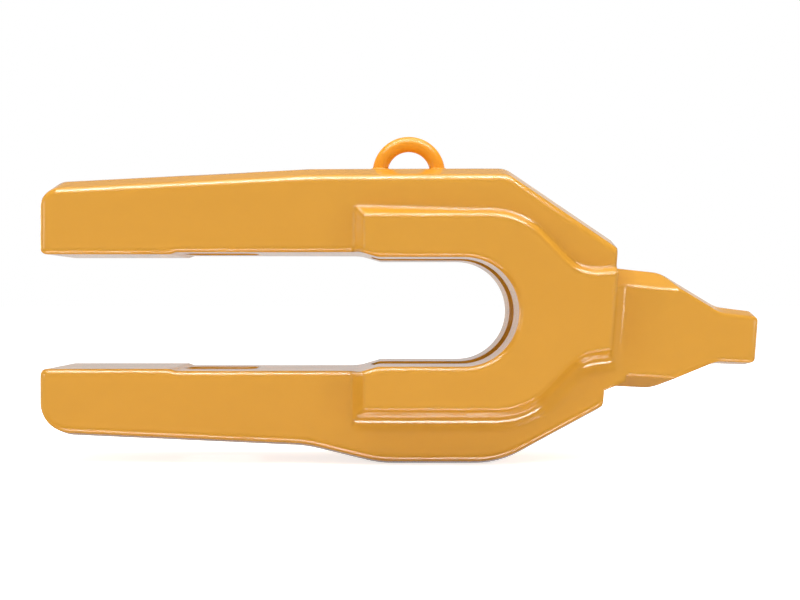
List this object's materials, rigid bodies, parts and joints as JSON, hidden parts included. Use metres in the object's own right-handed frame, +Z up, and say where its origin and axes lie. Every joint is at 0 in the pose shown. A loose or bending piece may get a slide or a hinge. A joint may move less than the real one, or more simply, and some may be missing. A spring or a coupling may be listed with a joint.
{
  "type": "bucket tooth adapter",
  "caption": "Cast adapter with two legs that straddle a bucket lip, raised cheeks round the throat, a tipped nose for a tooth and a welded lifting eye.",
  "frame": {"origin": "centre of the round throat that seats on the lip's edge, in the middle of the width", "axes": "+X along the lip slot towards the tooth nose, +Z up through the lifting eye, Y across the width"},
  "size_m": [1.274, 0.284, 0.594],
  "materials": {
    "yellow_paint": "glossy yellow-orange paint over a smooth casting",
    "orange_paint": "glossy orange paint over round bar"
  },
  "bodies": {
    "root": {"adapter_casting": "yellow_paint", "lifting_eye": "orange_paint", "eye_welds": "orange_paint"}
  },
  "joints": []
}
